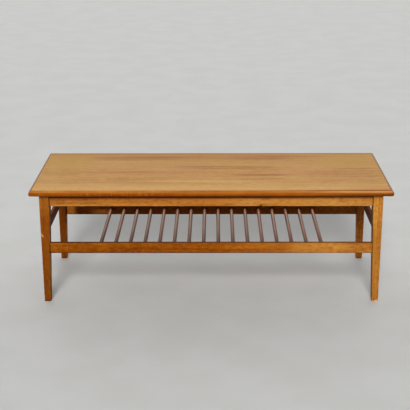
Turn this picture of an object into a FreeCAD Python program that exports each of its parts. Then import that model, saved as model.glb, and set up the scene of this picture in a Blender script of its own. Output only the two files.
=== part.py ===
"""Low coffee table with an open magazine rack of round rods under its top, in millimetres.

The table stands on z = 0 with its length along X and its depth along Y. The front is towards -Y.
The origin is on the floor, under the middle of the top.
"""
import FreeCAD, Part
import math
import os

import Sketcher

# Driving dimensions, in millimetres. The counts are plain numbers.
SIZES = {
    # the whole table
    "top_length": 1200.0,
    "top_depth": 470.0,
    "table_height": 403.0,
    # the top: a veneered board edged with half-round lipping
    "top_thickness": 20.0,
    "lipping_land": 1.0,
    "lipping_corner_radius": 5.0,
    "veneer_thickness": 0.8,
    # the legs, square at the top and tapered on their two inner faces
    "leg_section": 34.0,
    "foot_section": 22.5,
    "end_overhang": 30.0,
    "front_overhang": 25.0,
    "leg_arris_radius": 3.0,
    "foot_chamfer": 1.5,
    # the long rails, set back a little from the faces of the legs
    "rail_setback": 2.0,
    "rail_arris_radius": 1.5,
    "apron_height": 40.0,
    "apron_thickness": 20.0,
    "stretcher_rise": 176.0,
    "stretcher_height": 35.0,
    "stretcher_thickness": 18.0,
    # the slim rails at the ends
    "side_rail_drop": 111.0,
    "side_rail_height": 32.0,
    "side_rail_thickness": 12.0,
    # the rack
    "rack_inset": 225.0,
    "rod_count": 16,
    "rod_diameter": 13.0,
    "rod_end_chamfer": 1.0,
    "socket_floor": 6.0,
    # dowelled joints
    "dowel_diameter": 8.0,
    "dowel_length": 30.0,
    "side_dowel_diameter": 6.0,
    "side_dowel_length": 24.0,
    "dowel_chamfer": 1.0,
    "fit_clearance": 0.1,
    "end_clearance": 0.5,
    # the blocks and screws that hold the top down
    "block_count": 3,
    "block_inset": 200.0,
    "block_length": 60.0,
    "block_depth": 20.0,
    "block_height": 28.0,
    "block_bevel": 10.0,
    "screw_diameter": 4.0,
    "screw_head_diameter": 8.0,
    "screw_head_height": 2.4,
    "screw_point": 4.0,
    "screw_bite": 10.0,
    # how far a cut runs past the wood that it cuts
    "overrun": 2.0,
}

# Two dowels share each joint, at these shares of the rail's height.
DOWEL_SHARES = (0.27, 0.73)
# Two spokes of an arc whose cross product is under this share of their lengths lie in line.
STRAIGHT_SHARE = 1e-6
# An edge runs along an axis if this share of its length does.
ALONG_SHARE = 0.9
# The block's two screws stand to either side of its middle by this share of its length.
SCREW_SHARE = 0.25

doc = FreeCAD.newDocument("magazine_table")
sizes = doc.addObject("Spreadsheet::Sheet", "sizes")
for row, (alias, value) in enumerate(SIZES.items(), start=1):
    sizes.set(f"A{row}", alias)
    sizes.set(f"B{row}", str(value))
    sizes.setAlias(f"B{row}", alias)
doc.recompute()

# Places worked out from the driving dimensions, as expressions on the sheet.
UNDERSIDE = "(sizes.table_height - sizes.top_thickness)"
APRON_BOTTOM = f"({UNDERSIDE} - sizes.apron_height)"
LEG_X = "(sizes.top_length / 2 - sizes.end_overhang)"
LEG_Y = "(sizes.top_depth / 2 - sizes.front_overhang)"
NOSE_RADIUS = "(sizes.top_thickness / 2)"
LIPPING_WIDTH = f"({NOSE_RADIUS} + sizes.lipping_land)"
CORE_THICKNESS = "(sizes.top_thickness - 2 * sizes.veneer_thickness)"
APRON_INNER_Y = f"({LEG_Y} - sizes.rail_setback - sizes.apron_thickness)"
STRETCHER_INNER_Y = f"({LEG_Y} - sizes.rail_setback - sizes.stretcher_thickness)"
STRETCHER_TOP = "(sizes.stretcher_rise + sizes.stretcher_height)"
STRETCHER_MIDDLE = "(sizes.stretcher_rise + sizes.stretcher_height / 2)"
SIDE_RAIL_TOP = f"({UNDERSIDE} - sizes.side_rail_drop)"
SIDE_RAIL_MIDDLE = f"({SIDE_RAIL_TOP} - sizes.side_rail_height / 2)"
SIDE_RAIL_BOTTOM = f"({SIDE_RAIL_TOP} - sizes.side_rail_height)"
RACK_SPAN = "(sizes.top_length - 2 * sizes.rack_inset)"
BLOCK_SPREAD = "(sizes.top_length - 2 * sizes.block_inset)"
SOCKET_DEPTH = "(sizes.stretcher_thickness - sizes.socket_floor)"
DOWEL_DEPTH = "(sizes.dowel_length / 2 + sizes.end_clearance)"
SIDE_DOWEL_DEPTH = "(sizes.side_dowel_length / 2 + sizes.end_clearance)"
SCREW_HOLE = "(sizes.screw_diameter + 2 * sizes.fit_clearance)"
SCREW_HOLE_DEPTH = "(sizes.screw_bite + sizes.end_clearance)"

# The sketch plane across each axis, and the way that the plane's normal points along the axis.
PLANE_ACROSS = {"X": ("YZ_Plane", 1), "Y": ("XZ_Plane", -1), "Z": ("XY_Plane", 1)}

LEFT, RIGHT = -1, 1
FRONT, REAR = -1, 1


def leg_width(height):
    """How wide a leg is at a height: it tapers from the foot up to the apron."""
    return f"(sizes.foot_section + (sizes.leg_section - sizes.foot_section) * {height} / {APRON_BOTTOM})"


SIDE_RAIL_X = f"({LEG_X} - {leg_width(SIDE_RAIL_MIDDLE)} / 2)"


def number(expression):
    """What an expression on the sheet comes to now."""
    return float(sizes.evalExpression(expression))


def new_body(label, place=("0", "0", "0"), turn=0):
    """An empty piece with its own name, placed by three expressions and turned about the upright."""
    body = doc.addObject("PartDesign::Body", label)
    body.Label = label
    body.Placement = FreeCAD.Placement(FreeCAD.Vector(), FreeCAD.Rotation(FreeCAD.Vector(0, 0, 1), turn))
    for axis, expression in zip("xyz", place):
        body.setExpression(f"Placement.Base.{axis}", expression)
    return body


def origin_feature(body, role):
    """One of the planes or axes of a piece's own origin."""
    return next(feature for feature in body.Origin.OriginFeatures if feature.Role == role)


def new_sketch(body, across, name, origin=("0", "0"), level="0", turn=0):
    """An empty sketch across an axis: its own origin and turn on the plane, and its level along the axis."""
    role, normal = PLANE_ACROSS[across]
    sketch = body.newObject("Sketcher::SketchObject", name)
    sketch.AttachmentSupport = [(origin_feature(body, role), "")]
    sketch.MapMode = "FlatFace"
    sketch.AttachmentOffset = FreeCAD.Placement(
        FreeCAD.Vector(), FreeCAD.Rotation(FreeCAD.Vector(0, 0, 1), turn))
    sketch.setExpression("AttachmentOffset.Base.x", origin[0])
    sketch.setExpression("AttachmentOffset.Base.y", origin[1])
    sketch.setExpression("AttachmentOffset.Base.z", f"{normal} * ({level})")
    return sketch


def fix_point(sketch, geometry, position, coordinates):
    """Tie a point of the sketch to its coordinates, given as expressions. None leaves one free."""
    for kind, expression in zip(("DistanceX", "DistanceY"), coordinates):
        if expression is None:
            continue
        constraint = Sketcher.Constraint(kind, -1, 1, geometry, position, number(expression))
        index = sketch.addConstraint(constraint)
        sketch.setExpression(f"Constraints[{index}]", expression)


def draw_outline(sketch, corners):
    """A closed outline through its corners, each a pair of expressions.

    A corner with four expressions starts an arc to the next one, and its last two are the arc's centre.
    """
    points = [FreeCAD.Vector(number(corner[0]), number(corner[1]), 0) for corner in corners]
    ends = []
    for index, corner in enumerate(corners):
        start = points[index]
        finish = points[(index + 1) % len(points)]
        if len(corner) == 2:
            sketch.addGeometry(Part.LineSegment(start, finish), False)
            ends.append((1, 2))
            continue
        centre = FreeCAD.Vector(number(corner[2]), number(corner[3]), 0)
        spoke, last_spoke = start - centre, finish - centre
        angles = [math.atan2(spoke.y, spoke.x), math.atan2(last_spoke.y, last_spoke.x)]
        turn = spoke.cross(last_spoke).z
        if abs(turn) < STRAIGHT_SHARE * spoke.Length * last_spoke.Length:
            turn = spoke.cross(start - points[index - 1]).z
        turns_left = turn > 0
        if not turns_left:
            angles.reverse()
        circle = Part.Circle(centre, FreeCAD.Vector(0, 0, 1), spoke.Length)
        sketch.addGeometry(Part.ArcOfCircle(circle, *angles), False)
        ends.append((1, 2) if turns_left else (2, 1))
    for index, corner in enumerate(corners):
        following = (index + 1) % len(corners)
        joint = Sketcher.Constraint("Coincident", index, ends[index][1], following, ends[following][0])
        sketch.addConstraint(joint)
    for index, corner in enumerate(corners):
        fix_point(sketch, index, ends[index][0], corner[:2])
        if len(corner) == 4:
            fix_point(sketch, index, 3, (corner[2], None))


def draw_circles(sketch, centres, diameter):
    """Circles of one diameter, each about a centre given as two expressions."""
    for index, centre in enumerate(centres):
        middle = FreeCAD.Vector(number(centre[0]), number(centre[1]), 0)
        circle = Part.Circle(middle, FreeCAD.Vector(0, 0, 1), number(diameter) / 2)
        sketch.addGeometry(circle, False)
        fix_point(sketch, index, 3, centre)
        size = Sketcher.Constraint("Diameter", index, number(diameter))
        sketch.setExpression(f"Constraints[{sketch.addConstraint(size)}]", diameter)


def pad(body, name, sketch, length, both_ways=False):
    """Wood of a sketch's outline, along the sketch's normal or to both sides of it."""
    feature = body.newObject("PartDesign::Pad", name)
    feature.Profile = sketch
    feature.setExpression("Length", length)
    feature.Midplane = both_ways
    doc.recompute()
    return feature


def cut(body, name, sketch, towards=0):
    """Cut a sketch's outline right through: along its normal, against it, or with 0 to both sides."""
    before = body.Shape.Volume
    feature = body.newObject("PartDesign::Pocket", name)
    feature.Profile = sketch
    feature.Type = "ThroughAll"
    feature.Midplane = towards == 0
    feature.Reversed = towards > 0
    doc.recompute()
    if body.Shape.Volume >= before:
        raise RuntimeError(f"{name} cuts nothing")
    return feature


def bore(body, name, along, towards, floor, centres, diameter):
    """Round holes from a floor out through the wood, along an axis."""
    sketch = new_sketch(body, along, f"{name}_plan", level=floor)
    draw_circles(sketch, centres, diameter)
    return cut(body, name, sketch, towards * PLANE_ACROSS[along][1])


def edges_where(shape, wanted):
    """The names of the edges of a shape that answer a test."""
    return [f"Edge{index}" for index, edge in enumerate(shape.Edges, start=1) if wanted(edge)]


def runs_along(edge, axis):
    """Whether an edge runs along an axis, or nearly."""
    first, last = edge.Vertexes[0].Point, edge.Vertexes[-1].Point
    span = last - first
    return span.Length > 0 and abs(getattr(span, axis)) > ALONG_SHARE * span.Length


def ease(body, name, kind, size_property, size, wanted):
    """Round or chamfer the edges of a piece that answer a test."""
    base = body.Tip
    names = edges_where(base.Shape, wanted)
    feature = body.newObject(f"PartDesign::{kind}", name)
    feature.Base = (base, names)
    feature.setExpression(size_property, size)
    doc.recompute()
    return feature


def copy_in_row(body, name, original, axis, length, count):
    """Copies of a feature in a row along an axis of the piece."""
    pattern = body.newObject("PartDesign::LinearPattern", name)
    pattern.Originals = [original]
    pattern.Direction = (origin_feature(body, f"{axis}_Axis"), [""])
    pattern.setExpression("Length", length)
    pattern.setExpression("Occurrences", str(count))
    body.Tip = pattern
    doc.recompute()
    return pattern


def mirror_all(body, name, across):
    """The whole piece once more, mirrored in the plane across an axis."""
    mirror = body.newObject("PartDesign::Mirrored", name)
    mirror.TransformMode = "Whole shape"
    mirror.MirrorPlane = (origin_feature(body, PLANE_ACROSS[across][0]), [""])
    body.Tip = mirror
    doc.recompute()
    return mirror


def heights(rise, height):
    """The heights of the dowels in a joint of a rail."""
    return [f"({rise} + {share} * {height})" for share in DOWEL_SHARES]


def in_row(index, count, span):
    """Where one of a count of equal things stands, in a row about the middle."""
    return f"({index} / ({count} - 1) - 1 / 2) * {span}"


def block_places():
    """Where the fixing blocks stand along the apron."""
    count = int(number("sizes.block_count"))
    return [in_row(index, "sizes.block_count", BLOCK_SPREAD) for index in range(count)]


def dowel_hole(diameter):
    """The hole for a dowel of a diameter."""
    return f"({diameter} + 2 * sizes.fit_clearance)"


# The top
def make_plate(name, bottom, thickness):
    """A flat sheet of the top, inside the lipping."""
    body = new_body(name, place=("0", "0", bottom))
    half_length = f"(sizes.top_length / 2 - {LIPPING_WIDTH})"
    half_depth = f"(sizes.top_depth / 2 - {LIPPING_WIDTH})"
    plan = new_sketch(body, "Z", f"{name}_plan")
    draw_outline(plan, [
        (f"-{half_length}", f"-{half_depth}"),
        (half_length, f"-{half_depth}"),
        (half_length, half_depth),
        (f"-{half_length}", half_depth),
    ])
    pad(body, f"{name}_sheet", plan, thickness)
    return body


def top_screw_places():
    """Where the screws go up into the top, seen from above."""
    middle_y = f"({APRON_INNER_Y} - sizes.block_depth / 2)"
    return [
        (f"{place} + {SCREW_SHARE} * sizes.block_length", f"{side} * {middle_y}")
        for side in (FRONT, REAR)
        for place in block_places()
    ]


def make_top():
    """The core board between two veneers, with holes for the fixing screws."""
    core_bottom = f"{UNDERSIDE} + sizes.veneer_thickness"
    core = make_plate("top_core", core_bottom, CORE_THICKNESS)
    core_hole_depth = f"({SCREW_HOLE_DEPTH} - sizes.veneer_thickness)"
    bore(core, "top_core_screw_holes", "Z", -1, core_hole_depth, top_screw_places(), SCREW_HOLE)
    under = make_plate("under_veneer", UNDERSIDE, "sizes.veneer_thickness")
    bore(under, "under_veneer_screw_holes", "Z", -1, "sizes.veneer_thickness", top_screw_places(), SCREW_HOLE)
    upper = make_plate("top_veneer", "sizes.table_height - sizes.veneer_thickness", "sizes.veneer_thickness")
    return [core, under, upper]


def make_lipping(name, length, place, turn):
    """A half-round strip along one edge of the top, mitred at both ends with its corners softened."""
    body = new_body(name, place=place, turn=turn)
    profile = new_sketch(body, "X", f"{name}_profile")
    draw_outline(profile, [
        ("0", "sizes.top_thickness"),
        ("-sizes.lipping_land", "sizes.top_thickness", "-sizes.lipping_land", NOSE_RADIUS),
        ("-sizes.lipping_land", "0"),
        ("0", "0"),
    ])
    pad(body, f"{name}_strip", profile, length, both_ways=True)
    half = f"{length} / 2"
    outside = "sizes.overrun"
    turn_start_x = f"{half} - sizes.lipping_corner_radius"
    turn_centre_y = f"sizes.lipping_corner_radius - {LIPPING_WIDTH}"
    mitre_x = f"{turn_start_x} + sizes.lipping_corner_radius * sqrt(1 / 2)"
    mitre_y = f"{turn_centre_y} - sizes.lipping_corner_radius * sqrt(1 / 2)"
    for end, words in ((LEFT, "left"), (RIGHT, "right")):
        waste = new_sketch(body, "Z", f"{name}_mitre_{words}")
        draw_outline(waste, [
            (f"{end} * ({turn_start_x})", f"-{LIPPING_WIDTH} - {outside}"),
            (f"{end} * ({half} + {outside})", f"-{LIPPING_WIDTH} - {outside}"),
            (f"{end} * ({half} + {outside})", outside),
            (f"{end} * ({half} - {LIPPING_WIDTH} - {outside})", outside),
            (f"{end} * ({mitre_x})", mitre_y, f"{end} * ({turn_start_x})", turn_centre_y),
            (f"{end} * ({turn_start_x})", f"-{LIPPING_WIDTH}"),
        ])
        cut(body, f"{name}_{words}_end", waste)
    return body


def make_lippings():
    """The four strips of lipping, one to each edge of the top."""
    at_side = f"(sizes.top_length / 2 - {LIPPING_WIDTH})"
    at_front = f"(sizes.top_depth / 2 - {LIPPING_WIDTH})"
    return [
        make_lipping("lipping_front", "sizes.top_length", ("0", f"-{at_front}", UNDERSIDE), 0),
        make_lipping("lipping_rear", "sizes.top_length", ("0", at_front, UNDERSIDE), 180),
        make_lipping("lipping_left", "sizes.top_depth", (f"-{at_side}", "0", UNDERSIDE), -90),
        make_lipping("lipping_right", "sizes.top_depth", (at_side, "0", UNDERSIDE), 90),
    ]


# The frame
def draw_leg_section(sketch, inset, width, inward_x, inward_y):
    """A square section of a leg with rounded corners, drawn in by an inset on every side."""
    radius = "sizes.leg_arris_radius"
    low, high = f"({inset})", f"({width} - {inset})"
    low_turn, high_turn = f"({low} + {radius})", f"({high} - {radius})"
    corners = [
        (low_turn, low),
        (high_turn, low, high_turn, low_turn),
        (high, low_turn),
        (high, high_turn, high_turn, high_turn),
        (high_turn, high),
        (low_turn, high, low_turn, high_turn),
        (low, high_turn),
        (low, low_turn, low_turn, low_turn),
    ]
    signs = (inward_x, inward_y, inward_x, inward_y)
    draw_outline(sketch, [
        tuple(f"{sign} * {expression}" for sign, expression in zip(signs, corner)) for corner in corners
    ])


def make_leg(name, side, face):
    """A leg with eased arrises, square beside the apron and tapered on its two inner faces below.

    Its own origin is at the foot of its outer corner.
    """
    body = new_body(name, place=(f"{side} * {LEG_X}", f"{face} * {LEG_Y}", "0"))
    inward_x, inward_y = -side, -face
    levels = [
        ("sole", "0", "sizes.foot_chamfer", "sizes.foot_section"),
        ("foot", "sizes.foot_chamfer", "0", leg_width("sizes.foot_chamfer")),
        ("shoulder", APRON_BOTTOM, "0", "sizes.leg_section"),
    ]
    sections = []
    for words, level, inset, width in levels:
        section = new_sketch(body, "Z", f"{name}_{words}", level=level)
        draw_leg_section(section, inset, width, inward_x, inward_y)
        sections.append(section)
    taper = body.newObject("PartDesign::AdditiveLoft", f"{name}_taper")
    taper.Profile = sections[0]
    taper.Sections = sections[1:]
    taper.Ruled = True
    doc.recompute()
    top_section = new_sketch(body, "Z", f"{name}_top", level=APRON_BOTTOM)
    draw_leg_section(top_section, "0", "sizes.leg_section", inward_x, inward_y)
    pad(body, f"{name}_block", top_section, "sizes.apron_height")
    bore_leg(body, name, inward_x, inward_y)
    return body


def bore_leg(body, name, inward_x, inward_y):
    """The dowel holes of a leg: for the apron, the stretcher and the side rail."""
    apron_y = f"{inward_y} * (sizes.rail_setback + sizes.apron_thickness / 2)"
    apron_floor = f"{inward_x} * (sizes.leg_section - {DOWEL_DEPTH})"
    apron_centres = [(apron_y, height) for height in heights(APRON_BOTTOM, "sizes.apron_height")]
    hole = dowel_hole("sizes.dowel_diameter")
    bore(body, f"{name}_apron_holes", "X", inward_x, apron_floor, apron_centres, hole)
    stretcher_y = f"{inward_y} * (sizes.rail_setback + sizes.stretcher_thickness / 2)"
    stretcher_floor = f"{inward_x} * ({leg_width(STRETCHER_MIDDLE)} - {DOWEL_DEPTH})"
    stretcher_heights = heights("sizes.stretcher_rise", "sizes.stretcher_height")
    stretcher_centres = [(stretcher_y, height) for height in stretcher_heights]
    bore(body, f"{name}_stretcher_holes", "X", inward_x, stretcher_floor, stretcher_centres, hole)
    side_x = f"{inward_x} * {leg_width(SIDE_RAIL_MIDDLE)} / 2"
    side_floor = f"{inward_y} * ({leg_width(SIDE_RAIL_MIDDLE)} - {SIDE_DOWEL_DEPTH})"
    side_centres = [(side_x, height) for height in heights(SIDE_RAIL_BOTTOM, "sizes.side_rail_height")]
    side_hole = dowel_hole("sizes.side_dowel_diameter")
    bore(body, f"{name}_side_rail_holes", "Y", inward_y, side_floor, side_centres, side_hole)


def make_legs():
    """The four legs."""
    return [
        make_leg(f"leg_{face_words}_{side_words}", side, face)
        for face, face_words in ((FRONT, "front"), (REAR, "rear"))
        for side, side_words in ((LEFT, "left"), (RIGHT, "right"))
    ]


def make_rail(name, across, place, turn, half_lengths, height, thickness):
    """A rail between two legs: its shoulders follow the taper of the legs, and its arrises are eased."""
    body = new_body(name, place=place, turn=turn)
    bottom_half, top_half = half_lengths
    side_view = new_sketch(body, across, f"{name}_side_view")
    draw_outline(side_view, [
        (f"-{bottom_half}", "0"),
        (bottom_half, "0"),
        (top_half, height),
        (f"-{top_half}", height),
    ])
    pad(body, f"{name}_board", side_view, thickness, both_ways=True)
    along = "x" if across == "Y" else "y"
    ease(body, f"{name}_arrises", "Fillet", "Radius", "sizes.rail_arris_radius",
         lambda edge: runs_along(edge, along))
    return body


def bore_rail_ends(body, name, along, shoulder, depth, height, diameter):
    """The dowel holes in both ends of a rail."""
    centres = [("0", level) for level in heights("0", height)]
    for end, words in ((LEFT, "first"), (RIGHT, "second")):
        floor = f"{end} * ({shoulder} - {depth})"
        bore(body, f"{name}_{words}_end_holes", along, end, floor, centres, dowel_hole(diameter))


def make_dowels(name, across, place, turn, shoulder, height, diameter, length):
    """The four dowels of a rail, two to each end, half in the rail and half in the leg."""
    body = new_body(name, place=place, turn=turn)
    low, high = heights("0", height)
    profile = new_sketch(body, across, f"{name}_profile", origin=(shoulder, low))
    half, radius = f"{length} / 2", f"{diameter} / 2"
    draw_outline(profile, [
        (f"-{half}", "0"),
        (half, "0"),
        (half, f"{radius} - sizes.dowel_chamfer"),
        (f"{half} - sizes.dowel_chamfer", radius),
        (f"-{half} + sizes.dowel_chamfer", radius),
        (f"-{half}", f"{radius} - sizes.dowel_chamfer"),
    ])
    dowel = body.newObject("PartDesign::Revolution", f"{name}_turned")
    dowel.Profile = profile
    dowel.ReferenceAxis = (profile, ["H_Axis"])
    doc.recompute()
    copy_in_row(body, f"{name}_pair", dowel, "Z", f"{high} - {low}", len(DOWEL_SHARES))
    mirror_all(body, f"{name}_both_ends", "X" if across == "Y" else "Y")
    return body


def make_aprons():
    """The two rails under the long edges of the top, with their dowels."""
    half = f"({LEG_X} - sizes.leg_section)"
    pieces = []
    for face, words, turn in ((FRONT, "front", 0), (REAR, "rear", 180)):
        name = f"apron_{words}"
        place = ("0", f"{face} * ({APRON_INNER_Y} + sizes.apron_thickness / 2)", APRON_BOTTOM)
        apron = make_rail(name, "Y", place, turn, (half, half), "sizes.apron_height", "sizes.apron_thickness")
        bore_rail_ends(apron, name, "X", half, DOWEL_DEPTH, "sizes.apron_height", "sizes.dowel_diameter")
        screw_floor = f"sizes.apron_thickness / 2 - {SCREW_HOLE_DEPTH}"
        screw_height = "sizes.apron_height - sizes.block_height / 2"
        aside = f"{SCREW_SHARE} * sizes.block_length"
        screws = [(f"{-face} * ({spot} - {aside})", screw_height) for spot in block_places()]
        bore(apron, f"{name}_screw_holes", "Y", 1, screw_floor, screws, SCREW_HOLE)
        dowels = make_dowels(f"{name}_dowels", "Y", place, turn, half, "sizes.apron_height",
                             "sizes.dowel_diameter", "sizes.dowel_length")
        pieces += [apron, dowels]
    return pieces


def make_stretchers():
    """The two low rails that carry the rack, with a row of blind sockets, and their dowels."""
    bottom_half = f"({LEG_X} - {leg_width('sizes.stretcher_rise')})"
    top_half = f"({LEG_X} - {leg_width(STRETCHER_TOP)})"
    middle_half = f"({LEG_X} - {leg_width(STRETCHER_MIDDLE)})"
    pieces = []
    for face, words, turn in ((FRONT, "front", 0), (REAR, "rear", 180)):
        name = f"stretcher_{words}"
        middle_y = f"({STRETCHER_INNER_Y} + sizes.stretcher_thickness / 2)"
        place = ("0", f"{face} * {middle_y}", "sizes.stretcher_rise")
        stretcher = make_rail(name, "Y", place, turn, (bottom_half, top_half), "sizes.stretcher_height",
                              "sizes.stretcher_thickness")
        bore_rail_ends(stretcher, name, "X", middle_half, DOWEL_DEPTH, "sizes.stretcher_height",
                       "sizes.dowel_diameter")
        floor = "sizes.socket_floor - sizes.stretcher_thickness / 2"
        first = [(f"-{RACK_SPAN} / 2", "sizes.stretcher_height / 2")]
        socket = bore(stretcher, f"{name}_socket", "Y", 1, floor, first, dowel_hole("sizes.rod_diameter"))
        copy_in_row(stretcher, f"{name}_sockets", socket, "X", RACK_SPAN, "sizes.rod_count")
        dowels = make_dowels(f"{name}_dowels", "Y", place, turn, middle_half, "sizes.stretcher_height",
                             "sizes.dowel_diameter", "sizes.dowel_length")
        pieces += [stretcher, dowels]
    return pieces


def make_side_rails():
    """The two slim rails between the front and rear legs, with their dowels."""
    bottom_half = f"({LEG_Y} - {leg_width(SIDE_RAIL_BOTTOM)})"
    top_half = f"({LEG_Y} - {leg_width(SIDE_RAIL_TOP)})"
    middle_half = f"({LEG_Y} - {leg_width(SIDE_RAIL_MIDDLE)})"
    pieces = []
    for side, words in ((LEFT, "left"), (RIGHT, "right")):
        name = f"side_rail_{words}"
        place = (f"{side} * {SIDE_RAIL_X}", "0", SIDE_RAIL_BOTTOM)
        rail = make_rail(name, "X", place, 0, (bottom_half, top_half), "sizes.side_rail_height",
                         "sizes.side_rail_thickness")
        bore_rail_ends(rail, name, "Y", middle_half, SIDE_DOWEL_DEPTH, "sizes.side_rail_height",
                       "sizes.side_dowel_diameter")
        dowels = make_dowels(f"{name}_dowels", "X", place, 0, middle_half, "sizes.side_rail_height",
                             "sizes.side_dowel_diameter", "sizes.side_dowel_length")
        pieces += [rail, dowels]
    return pieces


# The rack
def make_rods():
    """The round rods of the rack, front to back, each let into a socket at either end."""
    half = f"({STRETCHER_INNER_Y} + {SOCKET_DEPTH} - sizes.end_clearance)"
    rods = []
    for index in range(int(number("sizes.rod_count"))):
        name = f"rack_rod_{index + 1:02d}"
        along = in_row(index, "sizes.rod_count", RACK_SPAN)
        body = new_body(name, place=(along, "0", STRETCHER_MIDDLE))
        section = new_sketch(body, "Y", f"{name}_section")
        draw_circles(section, [("0", "0")], "sizes.rod_diameter")
        pad(body, f"{name}_round", section, f"2 * {half}", both_ways=True)
        ease(body, f"{name}_ends", "Chamfer", "Size", "sizes.rod_end_chamfer",
             lambda edge: len(edge.Vertexes) == 1)
        rods.append(body)
    return rods


# The fixings of the top
def make_block(name, along, face):
    """A bevelled block in the corner between an apron and the top, bored for its two screws."""
    body = new_body(name, place=(along, f"{face} * {APRON_INNER_Y}", UNDERSIDE))
    inward = -face
    end_view = new_sketch(body, "X", f"{name}_end_view")
    draw_outline(end_view, [
        ("0", "0"),
        ("0", "-sizes.block_height"),
        (f"{inward} * (sizes.block_depth - sizes.block_bevel / 2)", "-sizes.block_height"),
        (f"{inward} * sizes.block_depth", "-sizes.block_height + sizes.block_bevel"),
        (f"{inward} * sizes.block_depth", "0"),
    ])
    pad(body, f"{name}_wood", end_view, "sizes.block_length", both_ways=True)
    aside = f"{SCREW_SHARE} * sizes.block_length"
    up_hole = [(aside, f"{inward} * sizes.block_depth / 2")]
    bore(body, f"{name}_top_hole", "Z", -1, "sizes.overrun", up_hole, SCREW_HOLE)
    side_hole = [(f"-{aside}", "-sizes.block_height / 2")]
    bore(body, f"{name}_apron_hole", "Y", inward, f"{face} * sizes.overrun", side_hole, SCREW_HOLE)
    return body


def make_blocks():
    """The blocks inside both aprons."""
    blocks = []
    for face, words in ((FRONT, "front"), (REAR, "rear")):
        for index, along in enumerate(block_places(), start=1):
            blocks.append(make_block(f"fixing_block_{words}_{index}", along, face))
    return blocks


def draw_screw(sketch, length):
    """Half of a round-head screw, its head below the sketch's origin and its point above."""
    shank, head = "sizes.screw_diameter / 2", "sizes.screw_head_diameter / 2"
    tall = "sizes.screw_head_height"
    dome_drop = f"(({head})^2 - {tall}^2) / (2 * {tall})"
    draw_outline(sketch, [
        ("0", length),
        ("0", f"-{tall}", "0", dome_drop),
        (head, "0"),
        (shank, "0"),
        (shank, f"{length} - sizes.screw_point"),
    ])


def make_screws(name, across, origin, level, turn, length):
    """Round-head screws, one to each block: a row along the front apron, mirrored to the rear one."""
    body = new_body(name)
    profile = new_sketch(body, across, f"{name}_profile", origin, level, turn)
    draw_screw(profile, length)
    screw = body.newObject("PartDesign::Revolution", f"{name}_turned")
    screw.Profile = profile
    screw.ReferenceAxis = (profile, ["V_Axis"])
    doc.recompute()
    copy_in_row(body, f"{name}_row", screw, "X", BLOCK_SPREAD, "sizes.block_count")
    mirror_all(body, f"{name}_both_aprons", "Y")
    return body


def make_all_screws():
    """The screws up into the top and the screws into the aprons."""
    aside = f"{SCREW_SHARE} * sizes.block_length"
    first_block = block_places()[0]
    block_middle_y = f"-({APRON_INNER_Y} - sizes.block_depth / 2)"
    block_bottom = f"({UNDERSIDE} - sizes.block_height)"
    up = make_screws("top_screws", "Y", (f"{first_block} + {aside}", block_bottom), block_middle_y, 0,
                     "sizes.block_height + sizes.screw_bite")
    block_inner_y = f"-({APRON_INNER_Y} - sizes.block_depth)"
    block_middle = f"({UNDERSIDE} - sizes.block_height / 2)"
    out = make_screws("apron_screws", "Z", (f"{first_block} - {aside}", block_inner_y), block_middle, 180,
                      "sizes.block_depth + sizes.screw_bite")
    return [up, out]


def check(pieces):
    """Stop if any object failed or any piece isn't a sound solid."""
    for item in doc.Objects:
        if "Invalid" in item.State or "Error" in item.State:
            raise RuntimeError(f"{item.Name} failed: {item.State}")
    for piece in pieces:
        if piece.Shape.isNull() or not piece.Shape.isValid() or not piece.Shape.Solids:
            raise RuntimeError(f"{piece.Label} isn't a sound solid")


def main():
    """Make every piece of the table and write each to its own file."""
    pieces = make_top() + make_lippings() + make_legs() + make_aprons() + make_stretchers()
    pieces += make_side_rails() + make_rods() + make_blocks() + make_all_screws()
    doc.recompute()
    check(pieces)
    os.makedirs("parts", exist_ok=True)
    for piece in pieces:
        piece.Shape.exportStep(f"parts/{piece.Label}.step")
        print(piece.Label, len(piece.Shape.Solids), "solids", round(piece.Shape.Volume), "mm3")


main()
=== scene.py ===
# %% [markdown]
# # A coffee table with a magazine rack
#
# The table is a long, low one of about 1960: a veneered top edged with half-round lipping, four square
# legs that taper on their inner faces, and a rack of round rods on two low stretchers. Its wood is
# already in the frame, piece by piece and at its real size, so this lesson is about finishes: how to make
# bare solids look like planed, stained and lacquered wood that has been lived with. It ends with the
# screws under the top, which are too small to be worth much in the frame and are modelled here.

# %% Load the frame
import math

import bpy
from mathutils import Color, Matrix, Vector


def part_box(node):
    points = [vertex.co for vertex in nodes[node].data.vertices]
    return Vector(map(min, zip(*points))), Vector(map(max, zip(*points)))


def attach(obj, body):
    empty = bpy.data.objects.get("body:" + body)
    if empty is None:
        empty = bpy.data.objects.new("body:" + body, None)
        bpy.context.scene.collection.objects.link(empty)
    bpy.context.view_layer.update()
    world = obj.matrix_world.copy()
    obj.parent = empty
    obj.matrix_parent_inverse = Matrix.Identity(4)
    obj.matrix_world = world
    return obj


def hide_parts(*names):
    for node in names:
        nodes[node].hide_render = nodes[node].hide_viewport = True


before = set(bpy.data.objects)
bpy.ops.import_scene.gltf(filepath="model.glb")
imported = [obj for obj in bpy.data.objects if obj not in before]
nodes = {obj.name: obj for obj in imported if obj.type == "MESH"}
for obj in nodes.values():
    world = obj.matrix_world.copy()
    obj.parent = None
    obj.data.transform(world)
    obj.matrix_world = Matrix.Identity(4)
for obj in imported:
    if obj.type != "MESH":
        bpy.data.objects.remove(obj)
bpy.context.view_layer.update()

# %% [markdown]
# ## The camera
#
# The table is seen from about three metres in front of it and a little above. A Track To constraint could
# aim a camera at it, but would not let the camera lean. So the camera is put at its place and turned by
# three angles: how far it looks down, how far it looks to the side, and how far it leans. The focal
# length follows from how wide the frame is at the table.

# %% The camera in front of the table
CAMERA_PLACE = (0.0121, -3.3769, 1.4170)
LOOK_DOWN, LOOK_ASIDE, LEAN = (math.radians(angle) for angle in (18.655, -0.572, -0.223))
SENSOR_MM = 36.0
FRAME_PIXELS = 410
FOCAL_PIXELS = 1009.5

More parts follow.
